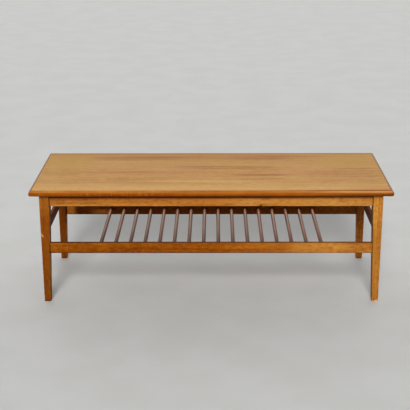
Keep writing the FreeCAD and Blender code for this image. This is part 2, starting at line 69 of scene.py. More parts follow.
bpy.ops.object.select_all(action="DESELECT")
bpy.ops.object.camera_add()
camera = bpy.context.object
camera.data.sensor_width = SENSOR_MM
camera.data.lens = SENSOR_MM * FOCAL_PIXELS / FRAME_PIXELS
camera.matrix_world = (
    Matrix.Translation(CAMERA_PLACE)
    @ Matrix.Rotation(-LOOK_ASIDE, 4, "Z")
    @ Matrix.Rotation(math.pi / 2 - LOOK_DOWN, 4, "X")
    @ Matrix.Rotation(LEAN, 4, "Z")
)
bpy.context.scene.camera = camera
print("a lens of", round(camera.data.lens, 1), "mm")

# %% [markdown]
# ## Sums on sockets
#
# A wood finish is a long sum: so much of this noise, less where the edge is worn, more near a joint. On
# the node canvas that is a maze of Math nodes. The class below wraps one socket, so that Python's own
# signs write the sum and each sign adds its node. All other nodes come from its one method, which takes
# the kind of node, its settings, and what goes into its sockets.

# %% A socket that can be added and multiplied
def pick(sockets, key):
    """A socket by its number, or by its name among those in use."""
    if isinstance(key, int):
        return sockets[key]
    return next(socket for socket in sockets if socket.enabled and socket.name == key)


class Wire:
    """One value on its way through a material."""

    def __init__(self, tree, socket=None):
        self.tree = tree
        self.socket = socket

    def node(self, kind, settings, inputs, out=0):
        """Add a node: its settings first, then a value or a wire for each socket."""
        made = self.tree.nodes.new(kind)
        for name, setting in settings.items():
            setattr(made, name, setting)
        for key, value in inputs.items():
            socket = pick(made.inputs, key)
            if isinstance(value, Wire):
                self.tree.links.new(value.socket, socket)
            else:
                socket.default_value = value
        return Wire(self.tree, pick(made.outputs, out)) if made.outputs else None

    def sum(self, operation, first, second):
        return self.node("ShaderNodeMath", {"operation": operation}, {0: first, 1: second})

    def __add__(self, other):
        return self.sum("ADD", self, other)

    def __sub__(self, other):
        return self.sum("SUBTRACT", self, other)

    def __rsub__(self, other):
        return self.sum("SUBTRACT", other, self)

    def __mul__(self, other):
        return self.sum("MULTIPLY", self, other)

    def __truediv__(self, other):
        return self.sum("DIVIDE", self, other)

    def __rtruediv__(self, other):
        return self.sum("DIVIDE", other, self)

    def __abs__(self):
        return self.sum("ABSOLUTE", self, 0.0)

    __radd__ = __add__
    __rmul__ = __mul__


print("a wire takes + - * / and abs, with a number on either side")


# %% Small helpers on wires
def least(first, second):
    return first.sum("MINIMUM", first, second)


def most(first, second):
    return first.sum("MAXIMUM", first, second)


def smooth(value, low, high):
    """A soft step from 0 at low to 1 at high. With low above high it falls instead."""
    inputs = {"Value": value, "From Min": low, "From Max": high}
    return value.node("ShaderNodeMapRange", {"interpolation_type": "SMOOTHSTEP"}, inputs)


def axis(place, name):
    """One coordinate of a place."""
    return place.node("ShaderNodeSeparateXYZ", {}, {"Vector": place}, name)


def axes(place):
    """All three coordinates of a place."""
    return [axis(place, name) for name in "XYZ"]


def stretch(place, by):
    """A place with its coordinates multiplied, so that a texture read there is squeezed by as much."""
    return place.node("ShaderNodeVectorMath", {"operation": "MULTIPLY"}, {0: place, 1: by})


def noise(place, by, detail=2.0):
    """Cloudy noise of about so many clouds a metre along each axis."""
    inputs = {"Vector": stretch(place, by), "Scale": 1.0, "Detail": detail}
    return place.node("ShaderNodeTexNoise", {}, inputs)


def blend(first, second, share):
    """One colour over another, by a share."""
    wire = next(value for value in (share, first, second) if isinstance(value, Wire))
    inputs = {"Factor": share, "A": first, "B": second}
    return wire.node("ShaderNodeMix", {"data_type": "RGBA"}, inputs, "Result")


def screen(red, green, blue):
    """A colour as a screen gives it, each part up to 255, turned into the light that shaders count in."""
    parts = [part / 255 for part in (red, green, blue)]
    return (*Color(parts).from_srgb_to_scene_linear(), 1.0)


print("a mid grey of 128 is", round(screen(128, 128, 128)[0], 3), "of the light of white")

# %% [markdown]
# ## The studio
#
# A plain pale floor under a dome of soft light. Panels would be brighter near and darker far away, but a
# dome is endlessly far, so it lights the floor evenly out to the horizon. Its light comes from high in
# front, where a studio hangs its softbox, so the legs and rails are bright and the space under the top
# stays dark. A paler band low at the back puts the light along the rods and the sheen on the top. A thin
# pale band all round the horizon keeps the backdrop light from every side.

# %% The floor
FLOOR_SIZE = 60.0
FLOOR_DROP = 0.0002
FLOOR_PALE, FLOOR_DEEP = screen(192, 193, 193), screen(188, 189, 188)
FLOOR_ROUGHNESS, FLOOR_SHINE = 0.6, 0.2
FLOOR_CLOUDS_A_METRE = (5.0, 5.0, 5.0)
CLOUD_RIM = (0.35, 0.65)


def new_finish(name):
    """An empty material, and the place of each point of the surface in the table's own frame."""
    material = bpy.data.materials.new(name)
    material.use_nodes = True
    material.node_tree.nodes.clear()
    place = Wire(material.node_tree).node("ShaderNodeTexCoord", {}, {}, "Object")
    return material, place


def floor_finish():
    material, place = new_finish("pale_floor")
    clouds = noise(place, FLOOR_CLOUDS_A_METRE, 4.0)
    shader = place.node("ShaderNodeBsdfPrincipled", {}, {
        "Base Color": blend(FLOOR_DEEP, FLOOR_PALE, smooth(clouds, *CLOUD_RIM)),
        "Roughness": FLOOR_ROUGHNESS, "Specular IOR Level": FLOOR_SHINE})
    place.node("ShaderNodeOutputMaterial", {}, {"Surface": shader})
    return material


bpy.ops.mesh.primitive_plane_add(size=FLOOR_SIZE, location=(0, 0, -FLOOR_DROP))
floor = bpy.context.object
floor.name = "floor"
floor.data.materials.append(floor_finish())
print("a floor", FLOOR_SIZE, "m wide")

# %% The dome
ROOM_LIGHT, HORIZON_LIGHT, SOFTBOX_LIGHT, CEILING_LIGHT, REAR_LIGHT = 0.07, 0.5, 42.0, 0.4, 1.2
LIGHT_COLOUR = screen(255, 254, 252)
SOFTBOX_AIM = Vector((-0.05, -0.84, 0.53)).normalized()
SOFTBOX_RIM = math.cos(math.radians(12)), math.cos(math.radians(4))
# how far up or back a direction points where each band of light starts, and where it is full
CEILING_RISE, HORIZON_RISE = (0.4, 0.95), (0.12, 0.03)
REAR_BACK, REAR_RISE = (0.15, 0.6), (0.92, 0.6)


def dome_strength(aim):
    """How bright the dome is in each direction."""
    back, rise = axis(aim, "Y"), axis(aim, "Z")
    inputs = {0: aim, 1: SOFTBOX_AIM}
    facing = aim.node("ShaderNodeVectorMath", {"operation": "DOT_PRODUCT"}, inputs, "Value")
    softbox = smooth(facing, *SOFTBOX_RIM)
    ceiling = smooth(rise, *CEILING_RISE)
    rear = smooth(back, *REAR_BACK) * smooth(rise, *REAR_RISE)
    haze = ROOM_LIGHT + HORIZON_LIGHT * smooth(rise, *HORIZON_RISE) * (1 - rear)
    return haze + SOFTBOX_LIGHT * softbox + CEILING_LIGHT * ceiling + REAR_LIGHT * rear


world = bpy.data.worlds.new("studio")
world.use_nodes = True
world.node_tree.nodes.clear()
dome = Wire(world.node_tree)
strength = dome_strength(dome.node("ShaderNodeTexCoord", {}, {}, "Generated"))
light = dome.node("ShaderNodeBackground", {}, {"Color": LIGHT_COLOUR, "Strength": strength})
dome.node("ShaderNodeOutputWorld", {}, {"Surface": light})
bpy.context.scene.world = world
bpy.context.scene.view_settings.view_transform = "Standard"
print("a dome of", len(world.node_tree.nodes), "nodes")

# %% [markdown]
# ## Planed wood
#
# Wood is made of fibres that all run one way, so every pattern in it is long and thin. The finish below
# first turns the coordinates so that X runs along the grain, then reads noise that is squeezed across
# it: broad bands, reddish streaks, fine fibres, the open pores that show as short dark dashes, and flecks
# where the saw has cut across the rays. The lines of growth are rings about a pith that runs along the
# grain beside the piece. A picture of wood would be quicker, but would not run round a corner from face
# to end grain.

# %% Lines of growth
GRAIN_ORDER = {"X": "XYZ", "Y": "YXZ", "Z": "ZXY"}
PITH_ASIDE, PITH_UP = 0.07, 0.35
YEAR = 0.0062
WANDER = 0.022
WANDERS_A_METRE = (0.9, 7.0, 7.0)


def along_grain(place, grain):
    """The place with its coordinates in another order: first along the grain, then across it."""
    inputs = {key: axis(place, name) for key, name in zip("XYZ", GRAIN_ORDER[grain])}
    return place.node("ShaderNodeCombineXYZ", {}, inputs)


def growth_lines(run):
    """The darker late wood at the end of each year's growth."""
    across, rise = axis(run, "Y") - PITH_ASIDE, axis(run, "Z") - PITH_UP
    square = across * across + rise * rise
    wander = WANDER * (noise(run, WANDERS_A_METRE, 3.0) - 0.5)
    years = (square.sum("SQRT", square, 0.0) + wander) / YEAR
    part = years.sum("FRACT", years, 0.0)
    return smooth(part, 0.3, 0.88) * smooth(part, 1.0, 0.93)


print("a year of growth is", YEAR * 1000, "mm wide")

# %% Bands, streaks, fibres, pores and flecks
BANDS_A_METRE = (1.3, 15.0, 15.0)
STREAKS_A_METRE = (3.2, 70.0, 70.0)
LINES_A_METRE = (4.5, 210.0, 210.0)
FIBRES_A_METRE = (16.0, 650.0, 650.0)
PORES_A_METRE = (75.0, 1900.0, 1900.0)
MOTTLE_A_METRE = (28.0, 55.0, 55.0)
FLECKS_A_METRE = (75.0, 190.0, 190.0)
PATINA_A_METRE = (7.0, 7.0, 7.0)
PORE_DARK, FLECK_DARK, FLECK_PALE = screen(58, 28, 10), screen(76, 30, 0), screen(214, 142, 46)
BUMP_STRENGTH, BUMP_HEIGHT, COAT_ROUGHNESS = 0.3, 0.0002, 0.2


class Timber:
    """The patterns of one kind of wood, and the colour, gloss and relief that come of them."""

    def __init__(self, place, grain, pale, deep, red, gloss=0.42):
        run = along_grain(place, grain)
        self.place, self.run = place, run
        self.bands = noise(run, BANDS_A_METRE, 3.0)
        self.streaks = noise(run, STREAKS_A_METRE, 4.0)
        self.mottle = noise(run, MOTTLE_A_METRE, 3.0)
        fine = noise(run, LINES_A_METRE, 3.0)
        fibres = noise(run, FIBRES_A_METRE, 2.0)
        pores = smooth(noise(run, PORES_A_METRE, 1.0), 0.62, 0.73)
        patina = noise(place, PATINA_A_METRE, 4.0)
        lines = growth_lines(run)
        figure = 0.5 * self.bands + 0.3 * self.streaks + 0.2 * patina
        tone = blend(pale, deep, smooth(figure, 0.38, 0.62))
        tone = blend(tone, red, 0.45 * smooth(self.streaks, 0.50, 0.74))
        tone = blend(tone, deep, 0.32 * lines + 0.22 * smooth(fibres, 0.45, 0.75))
        tone = blend(tone, pale, 0.50 * smooth(self.mottle, 0.48, 0.70))
        tone = blend(tone, deep, 0.45 * smooth(self.mottle, 0.50, 0.32))
        tone = blend(tone, red, 0.40 * smooth(fine, 0.50, 0.68))
        tone = blend(tone, pale, 0.35 * smooth(fine, 0.48, 0.34))
        self.colour = blend(tone, PORE_DARK, 0.30 * pores)
        self.roughness = gloss + 0.08 * fibres + 0.10 * pores + 0.10 * (patina - 0.5)
        self.relief = 0.5 * fibres + 0.2 * self.streaks + 0.25 * lines - 0.8 * pores

    def stain(self, colour, share):
        """Lay a colour over the wood where a share says."""
        self.colour = blend(self.colour, colour, share)

    def tint(self, pale, deep, share):
        """Lay two colours over the wood, so that its figure still shows in the stain."""
        figure = 0.5 * self.streaks + 0.2 * self.mottle + 0.3 * self.bands
        self.stain(blend(pale, deep, smooth(figure, 0.40, 0.60)), share)

    def fleck(self, share):
        """Scatter the short flecks, dark and pale, of wood that is sawn across its rays."""
        flecks = noise(self.run, FLECKS_A_METRE, 2.0)
        self.stain(FLECK_DARK, share * smooth(flecks, 0.50, 0.30))
        self.stain(FLECK_PALE, 0.35 * share * smooth(flecks, 0.50, 0.70))

    def dull(self, share):
        """Take the gloss off where a share says."""
        self.roughness = self.roughness + 0.25 * share

    def lacquered(self, material, level, coat=0.0):
        """Close the surface with a satin lacquer, by how much it mirrors and how thick a coat it has."""
        bump = self.place.node("ShaderNodeBump", {}, {
            "Strength": BUMP_STRENGTH, "Distance": BUMP_HEIGHT, "Height": self.relief})
        shader = self.place.node("ShaderNodeBsdfPrincipled", {}, {
            "Base Color": self.colour, "Roughness": self.roughness, "Normal": bump,
            "Specular IOR Level": level, "Coat Weight": coat, "Coat Roughness": COAT_ROUGHNESS})
        self.place.node("ShaderNodeOutputMaterial", {}, {"Surface": shader})
        return material


print("a fibre is about", round(1000 / FIBRES_A_METRE[1], 1), "mm thick")

# %% [markdown]
# ## The top
#
# The veneer is a thin slice of the same wood, pale honey where it is worn and sunned, with reddish figure
# along it. The broad bands come from the wood above. The figure could be left to chance as well, but then
# it would lie anywhere, so a few long patches are laid where the real top has them. Each is a soft oval,
# much longer than it is wide, with a rim that wavers along the grain. The seam with the lipping is brown
# with old polish at the right, and the veneer is darker towards its rear edge.

# %% Where the figure of the top lies
TOP_FIGURE, TOP_ROSE, TOP_OLIVE = screen(146, 84, 22), screen(180, 126, 76), screen(172, 132, 56)
# each patch: its middle along and across the top, half its length and half its width, and how strong it is
PATCHES = (
    (TOP_ROSE, (
        (-0.26, 0.030, 0.26, 0.060, 0.45),
        (-0.10, -0.060, 0.30, 0.035, 0.40),
        (0.34, -0.010, 0.24, 0.050, 0.55),
        (0.30, 0.090, 0.20, 0.025, 0.40),
        (-0.35, -0.130, 0.20, 0.016, 0.45),
    )),
    (TOP_OLIVE, (
        (-0.50, 0.100, 0.12, 0.160, 0.50),
        (0.50, 0.130, 0.16, 0.110, 0.70),
        (0.12, 0.105, 0.16, 0.016, 0.45),
        (-0.10, 0.105, 0.22, 0.014, 0.35),
    )),
    (TOP_FIGURE, (
        (-0.29, 0.162, 0.17, 0.034, 0.55),
        (-0.06, 0.170, 0.24, 0.018, 0.40),
        (0.23, 0.182, 0.22, 0.020, 0.50),
        (0.02, 0.045, 0.18, 0.026, 0.40),
        (-0.17, 0.162, 0.09, 0.026, 0.50),
        (0.17, 0.160, 0.12, 0.030, 0.40),
        (-0.20, -0.015, 0.28, 0.014, 0.28),
        (0.16, -0.050, 0.12, 0.016, 0.52),
        (0.17, -0.095, 0.10, 0.012, 0.42),
        (0.50, -0.065, 0.12, 0.022, 0.36),
        (0.51, 0.015, 0.12, 0.026, 0.34),
        (-0.05, 0.015, 0.10, 0.030, 0.25),
        (0.16, 0.020, 0.09, 0.060, 0.20),
        (0.44, -0.040, 0.13, 0.080, 0.18),
    )),
)
SUNNED_PATCH = (-0.05, -0.122, 0.24, 0.016, 0.75)


def oval(along, across, waver, patch):
    """A soft long patch: full in its middle, nothing at its rim."""
    middle_along, middle_across, half_length, half_width, strength = patch
    run = (along - middle_along) / half_length
    rise = (across - middle_across) / half_width
    return strength * smooth(run * run + rise * rise + waver, 1.3, 0.0)


print(sum(len(patches) for colour, patches in PATCHES), "patches of figure on the top")

# %% The veneer of the top
TOP_PALE, TOP_DEEP, TOP_RED = screen(190, 146, 80), screen(168, 121, 58), screen(172, 114, 56)
TOP_SUNNED, TOP_EDGE_DARK = screen(197, 154, 86), screen(96, 66, 36)
GRIME_AND_SHADE, SEAM_BROWN = screen(44, 10, 0), screen(126, 64, 0)
RIMS_A_METRE = (6.0, 70.0, 1.0)
# where along or across the top a change starts and is full, or starts, is full, wanes and ends
REAR_DEEPENS, FRONT_SUNNED, RIGHT_BROWNS = (0.02, 0.18), (-0.12, -0.21), (0.10, 0.50)
CORNER_ALONG, CORNER_ACROSS = (0.40, 0.58), (-0.14, -0.215)
BAND_ALONG, BAND_ACROSS = (-0.36, -0.22, 0.22, 0.34), (0.12, 0.145, 0.19, 0.215)
REAR_EDGE = (0.024, 0.006)
# each layer of the front seam: its colour, its share, and how far from the seam it starts and is full
SEAM_LAYERS = (
    (TOP_FIGURE, 0.45, (0.016, 0.004)),
    (SEAM_BROWN, 0.85, (0.006, 0.001)),
    (GRIME_AND_SHADE, 0.30, (0.0025, 0.0005)),
)


def span(value, limits):
    """A rise between the first two limits and a fall between the last two."""
    start, full, wane, end = limits
    return smooth(value, start, full) * smooth(value, end, wane)


def dress(material, names):
    """Give the material to the pieces of the frame with these names."""
    for name in names:
        for slot in nodes[name].material_slots:
            slot.material = material
    print(material.name, "on", len(names), "pieces")


def veneer_finish():
    material, place = new_finish("top_veneer")
    wood = Timber(place, "X", TOP_PALE, TOP_DEEP, TOP_RED)
    along, across = axis(place, "X"), axis(place, "Y")
    waver = 1.3 * (noise(place, RIMS_A_METRE, 4.0) - 0.5)
    wavering = across + 0.03 * waver
    wood.stain(TOP_DEEP, 0.60 * smooth(wavering, *REAR_DEEPENS))
    streaky = 0.45 + 0.85 * smooth(wood.streaks, 0.40, 0.60)
    for colour, patches in PATCHES:
        for patch in patches:
            wood.stain(colour, streaky * oval(along, across, waver, patch))
    wood.stain(TOP_SUNNED, 0.75 * smooth(wavering, *FRONT_SUNNED))
    wood.stain(TOP_SUNNED, oval(along, across, waver, SUNNED_PATCH))
    wood.stain(TOP_RED, 0.55 * smooth(along, *CORNER_ALONG) * smooth(across, *CORNER_ACROSS))
    wood.stain(TOP_FIGURE, 0.22 * span(across, BAND_ACROSS) * span(along, BAND_ALONG))
    wood.fleck(0.14)
    front, rear = (corner.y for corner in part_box("top_veneer"))
    # darker towards the rear edge of the veneer
    wood.stain(TOP_EDGE_DARK, 0.36 * smooth(rear - across, *REAR_EDGE))
    browned = smooth(along, *RIGHT_BROWNS)
    for colour, share, limits in SEAM_LAYERS:
        wood.stain(colour, share * browned * smooth(across - front, *limits))
    return wood.lacquered(material, level=0.06)


dress(veneer_finish(), ["top_veneer"])

# %% [markdown]
# ## Edges and joints
#
# Hands wear the lacquer thin along every arris, and grime gathers where one piece meets another. The same
# two marks also carry a painted highlight along the long rails' arrises and painted shade along some edges.
# Blender can find edges by the Pointiness of a mesh, but that needs a far finer mesh than these solids have.
# So
# both are distances: to the nearest arris of a square section, and to the shoulder of a joint. They are
# worked out from each piece's own box in the frame, so they stay right if the frame changes. The table is
# alike left and right, and front and rear, so a distance from its middle serves both of a pair.

# %% Distances on a square section
WEAR_A_METRE, WEAR_RIM = (22.0, 22.0, 22.0), (0.36, 0.62)


def inset(value, low, high):
    """How far in a point lies from two faces, which are alike on both sides of the table."""
    near, far = sorted((abs(low), abs(high)))
    return least(abs(value) - near, far - abs(value))


def from_arris(place, name, across):
    """How far a point of a rail lies from its nearest arris, with two letters for the axes across it."""
    low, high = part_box(name)
    first, second = (
        inset(axis(place, letter), getattr(low, letter.lower()), getattr(high, letter.lower()))
        for letter in across)
    return most(first, second)


def arris_wear_and_glint(wood, distance, width, colour, strength):
    """Pale arrises, patchy and lighter than the rest: wear, and on the long rails partly a painted
    highlight.
    """
    patchy = smooth(noise(wood.place, WEAR_A_METRE, 3.0), *WEAR_RIM)
    share = strength * smooth(distance, width, 0.0) * patchy
    wood.stain(colour, share)
    wood.dull(share)


def grime_and_shade(wood, distance, width, strength):
    """Grime beside a joint; where a call says so, painted shade along an edge instead."""
    wood.stain(GRIME_AND_SHADE, strength * smooth(distance, width, 0.0))


# %% [markdown]
# ## The lipping
#
# The half-round strips round the top are solid wood, so they can take knocks that would chip the veneer.
# They are stained darker than the face. Their lower half and underside carry painted shade, and dirt has
# settled in the joint with the veneer. On the front the crown carries a painted highlight and a painted
# glint. At the ends and the rear the sun has bleached their crown nearly as pale as the top, and the outer
# side and the right end of the table carry painted shade. One material for the crown and one for the belly
# would meet in a hard line, so each strip has a single material that changes with height and with depth.

# %% Half-round lipping
LIP_PALE, LIP_DEEP, LIP_RED = screen(156, 84, 4), screen(130, 64, 0), screen(132, 60, 2)
LIP_HIGHLIGHT, LIP_BLEACHED, LIP_SHADED = screen(196, 130, 56), screen(184, 138, 74), screen(62, 18, 0)
LIP_PAINTED_GLINT, LIP_RIPPLE = screen(222, 172, 116), screen(190, 122, 40)
LIP_CLOUDS_A_METRE, LIP_RIPPLES_A_METRE = (14.0, 14.0, 14.0), (120.0, 120.0, 6.0)
# heights above the strip's underside, then depths below its crown
LIP_BELLY, LIP_UNDER = (0.011, 0.004), (0.003, 0.0)
LIP_CROWN, LIP_GLINT = (0.0065, 0.0025), (0.0065, 0.0035, 0.0015, 0.0003)
LIP_END, LIP_OUTER = (0.006, 0.001), (0.0105, 0.0035)


def lipping_finish(name, grain, crown_colour, sun_and_highlight, seam_share, outer_shade):
    """A strip's material: the colour and strength of its crown, sunned on the ends and rear and a painted
    highlight on the front, how dark its seam is, and how much painted shade its outer side has.
    """
    material, place = new_finish(name)
    wood = Timber(place, grain, LIP_PALE, LIP_DEEP, LIP_RED, 0.46)
    low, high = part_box("lipping_front")
    along, across, height = axes(place)
    right = smooth(along, 0.22, 0.52)
    # painted shade on the lower half of the strip, stronger at the right, and along its underside
    belly = smooth(height - 0.004 * right, *(low.z + rise for rise in LIP_BELLY))
    wood.stain(LIP_SHADED, (0.07 + 0.49 * right) * belly)
    wood.stain(LIP_SHADED, 0.32 * smooth(height, *(low.z + rise for rise in LIP_UNDER)))
    patchy = smooth(noise(place, LIP_CLOUDS_A_METRE, 3.0), *CLOUD_RIM)
    # the crown's share: sunned on the ends and rear, a painted highlight on the front
    sunned_and_highlit = sun_and_highlight + 0.3 * patchy + 0.25 * smooth(along, -0.05, -0.35)
    wood.stain(crown_colour, sunned_and_highlit * smooth(height, *(high.z - depth for depth in LIP_CROWN)))
    # a painted glint along the upper crown, towards the right
    glint = span(height, [high.z - depth for depth in LIP_GLINT])
    wood.stain(LIP_PAINTED_GLINT, 0.32 * glint * smooth(along, 0.20, 0.48))
    ripple = smooth(noise(place, LIP_RIPPLES_A_METRE, 2.0), 0.5, 0.7)
    wood.stain(LIP_RIPPLE, 0.30 * ripple * smooth(along, 0.1, -0.3))
    # painted shade on the strips at the right end of the table, where the rounding turns from the light
    wood.stain(LIP_SHADED, 0.5 * smooth(high.x - along, *LIP_END))
    veneer_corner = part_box("top_veneer")[1]
    seam = most(abs(along) - veneer_corner.x, abs(across) - veneer_corner.y)
    seam_share = seam_share * (0.04 + 0.96 * smooth(along, 0.12, 0.50))
    wood.stain(SEAM_BROWN, seam_share * smooth(seam, 0.0025 + 0.0035 * right, 0.001))
    grime_and_shade(wood, seam, 0.0020, 0.4 * seam_share)
    outer = least(high.x - abs(along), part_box("lipping_rear")[1].y - across)
    # painted shade along the outer side of the end and rear strips, lighter at the right
    wood.stain(TOP_EDGE_DARK, outer_shade * (1 - 0.32 * right) * smooth(outer, *LIP_OUTER))
    return wood.lacquered(material, level=0.06)


# each strip: material, grain, crown colour (a painted highlight on the front, sunned elsewhere), crown
# strength, seam darkness, painted shade on its outer side, and its pieces
LIP_STRIPS = (
    ("lipping_front_wood", "X", LIP_HIGHLIGHT, 0.16, 0.95, 0.0, ["lipping_front"]),
    ("lipping_rear_wood", "X", LIP_BLEACHED, 0.65, 0.5, 0.45, ["lipping_rear"]),
    ("lipping_end_wood", "Y", LIP_BLEACHED, 0.65, 0.2, 0.88, ["lipping_left", "lipping_right"]),
)
for *looks, names in LIP_STRIPS:
    dress(lipping_finish(*looks), names)

# %% [markdown]
# ## The legs
#
# Each leg was sawn from its own board, so no two are quite alike: those on the right are yellower, those
# on the left redder. Knocks have lightened the outer arrises, the inner sides and the rear legs carry
# painted shade, grime sits where the rails meet them, and the lowest few millimetres of the feet are darker.
# Four materials would say the same thing four times, so one serves all the legs and asks on which side of
# the table a point lies. The taper has to be known to find the inner arrises, and is read from the foot.

# %% The taper of a leg
FOOT_BAND = 0.004

leg_low, leg_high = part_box("leg_front_right")
foot = [corner.co.x for corner in nodes["leg_front_right"].data.vertices if corner.co.z < FOOT_BAND]
LEG_WIDTH, FOOT_WIDTH = leg_high.x - leg_low.x, leg_high.x - min(foot)
TAPER_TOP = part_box("apron_front")[0].z


def leg_insets(place):
    """How far a point of a leg lies from its nearest arris, and from its inner side."""
    along, across, height = axes(place)
    width = FOOT_WIDTH + (LEG_WIDTH - FOOT_WIDTH) * least(height / TAPER_TOP, 1.0)
    depths = [leg_high.x - abs(along), -leg_low.y - abs(across)]
    return most(*(least(depth, width - depth) for depth in depths)), width - depths[0]


print("a leg tapers from", round(LEG_WIDTH * 1000, 1), "to", round(FOOT_WIDTH * 1000, 1), "mm")

# %% Legs, each from its own board
LEG_PALE, LEG_DEEP, LEG_RED = screen(190, 130, 54), screen(158, 96, 30), screen(152, 84, 24)
LEFT_PALE, LEFT_DEEP, LEFT_LOW = screen(130, 65, 0), screen(106, 47, 0), screen(84, 36, 0)
RIGHT_LOW, REAR_LEG_SHADE, LEG_INNER_SHADE = screen(140, 82, 22), screen(112, 52, 4), screen(66, 34, 6)
LEG_WORN, CHIP_PALE, NICK_PALE = screen(216, 156, 84), screen(226, 190, 138), screen(238, 196, 140)
LEGS = [f"leg_{face}_{side}" for face in ("front", "rear") for side in ("left", "right")]
LOW_DOWN, PALE_TOP, RIGHT_MIDDLE = (0.30, 0.05), (0.28, 0.36), (0.11, 0.17, 0.23, 0.30)
CHIPS_A_METRE, CHIPS_FADE = (160.0, 160.0, 90.0), 30.0
NICK_HIGH, NICK_LOW, NICK_WIDTH = 0.249, 0.234, 0.0018
JOINT_RIM = 0.002


def segment(place, face, start, end, width):
    """A thin line drawn on a face from one point to another: full on it, nothing beyond its width."""
    across, up = (axis(place, letter) for letter in face)
    run, rise = end[0] - start[0], end[1] - start[1]
    length = math.hypot(run, rise)
    along = ((across - start[0]) * run + (up - start[1]) * rise) / length
    aside = ((across - start[0]) * rise - (up - start[1]) * run) / length
    return smooth(abs(aside), width, 0.2 * width) * smooth(abs(along - length / 2), length / 2, 0.3 * length)


def leg_finish():
    material, place = new_finish("leg_wood")
    wood = Timber(place, "Z", LEG_PALE, LEG_DEEP, LEG_RED)
    along, across, height = axes(place)
    left, rear = smooth(along, 0.1, -0.1), smooth(across, -0.1, 0.1)
    low_down = smooth(height, *LOW_DOWN)
    wood.tint(LEFT_PALE, LEFT_DEEP, left * (0.92 - 0.33 * smooth(height, *PALE_TOP)))
    wood.stain(LEFT_LOW, 0.45 * left * low_down)
    wood.stain(RIGHT_LOW, 0.45 * (1 - left) * low_down)
    wood.stain(RIGHT_LOW, 0.42 * (1 - left) * span(height, RIGHT_MIDDLE))
    # painted shade on the rear legs, which stand under the top
    wood.stain(REAR_LEG_SHADE, 0.65 * rear)
    wood.fleck(0.40 - 0.18 * left)
    arris, inner = leg_insets(place)
    arris_wear_and_glint(wood, arris, 0.0030, LEG_WORN, 0.5)
    # painted shade on the inner side of the front legs, stronger on the right
    wood.stain(LEG_INNER_SHADE, (0.70 - 0.40 * left) * (1 - rear) * smooth(inner, 0.0026, 0.0010))
    for rail in ("apron_front", "stretcher_front"):
        under, over = (corner.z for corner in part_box(rail))
        beside = span(height, (under - JOINT_RIM, under, over, over + JOINT_RIM))
        grime_and_shade(wood, inner, 0.0040, (0.40 + 0.45 * left) * beside)
    # the lowest 8 mm of each foot darker
    grime_and_shade(wood, height, 0.008, 0.55)
    chipped = smooth(noise(place, CHIPS_A_METRE, 3.0) - CHIPS_FADE * height, 0.30, 0.42)
    wood.stain(CHIP_PALE, 0.85 * chipped * (1 - left) * (1 - rear))
    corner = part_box("leg_front_left")[0]
    nick = segment(place, "XZ", (corner.x - 0.002, NICK_HIGH), (corner.x + 0.010, NICK_LOW), NICK_WIDTH)
    wood.stain(NICK_PALE, 0.7 * nick * smooth(across, corner.y + 0.005, corner.y + 0.001))
    return wood.lacquered(material, level=0.05)


dress(leg_finish(), LEGS)

# %% [markdown]
# ## Aprons and stretchers
#
# These rails have their grain lengthwise. Over such a length the colour drifts from redder to yellower,
# and the front stretcher's left half is the reddest wood on the table. Their inner faces carry painted
# shade, with painted light where light comes in from the left under the top. The apron carries painted shade
# under the top, and the stretchers along their lower edge and the back of their top face. A colour ramp
# along the rail would drift too, but would hide the grain. So each drift is a pair of colours, and the
# figure of the wood shows as the difference between them.

# %% How the colour drifts along a rail
BEYOND = (-1.0, -0.9)
# each drift: its two colours, how strong it is, and where along the rail it starts, is full, wanes and ends
APRON_DRIFTS = (
    (screen(172, 102, 34), screen(126, 62, 8), 0.58, (*BEYOND, -0.04, 0.48)),
    (screen(192, 124, 52), screen(178, 110, 40), 0.28, (-0.42, -0.34, -0.22, -0.16)),
    (screen(148, 84, 24), screen(128, 66, 12), 0.22, (-0.17, -0.12, -0.04, 0.02)),
    (screen(202, 150, 82), screen(192, 138, 70), 0.24, (0.02, 0.06, 0.11, 0.17)),
    (screen(178, 124, 58), screen(164, 108, 46), 0.38, (0.24, 0.38, 1.0, 1.1)),
)
STRETCHER_DRIFTS = (
    (screen(146, 75, 0), screen(106, 45, 0), 0.97, (*BEYOND, 0.02, 0.40)),
    (screen(120, 60, 0), screen(86, 34, 0), 0.35, (*BEYOND, -0.30, -0.10)),
    (screen(160, 88, 4), screen(134, 64, 0), 0.50, (0.05, 0.16, 0.26, 0.38)),
    (screen(206, 150, 68), screen(200, 142, 60), 0.26, (0.28, 0.36, 0.44, 0.54)),
    (screen(156, 92, 24), screen(128, 66, 8), 0.30, (0.42, 0.54, 1.0, 1.1)),
    (screen(160, 102, 24), screen(134, 78, 10), 0.24, (*BEYOND, -0.60, -0.50)),
)
print(len(APRON_DRIFTS), "drifts along an apron,", len(STRETCHER_DRIFTS), "along a stretcher")

# %% The wood of aprons and stretchers
RAIL_PALE, RAIL_DEEP, RAIL_RED = screen(198, 140, 66), screen(162, 100, 36), screen(156, 86, 26)
RAIL_INNER_SHADE, RAIL_LIT, RAIL_WORN_AND_LIT = screen(104, 48, 8), screen(240, 148, 56), screen(214, 158, 88)
DRIFTS_A_METRE = (2.5, 2.5, 2.5)
# where along a rear rail the light falls: a patch near its left end, the left end itself, and the right end
LIT_PATCH, LIT_LEFT, LIT_RIGHT = (-0.465, -0.415, -0.390, -0.370), (-0.498, -0.525), (0.40, 0.48)
LIT_RISE = (0.026, 0.014)


def lit_share(wood, low):
    """How much light falls on the inner face of a rear rail whose lowest corner is given."""
    along, across, height = axes(wood.place)
    streaky = 0.6 + 0.5 * smooth(wood.streaks, 0.40, 0.60)
    patch = streaky * span(along, LIT_PATCH) * smooth(height, *(low.z + rise for rise in LIT_RISE))
    ends = 0.95 * smooth(along, *LIT_LEFT) + 0.03 * smooth(along, *LIT_RIGHT)
    return smooth(across, -0.1, 0.1) * (0.42 * patch + ends)


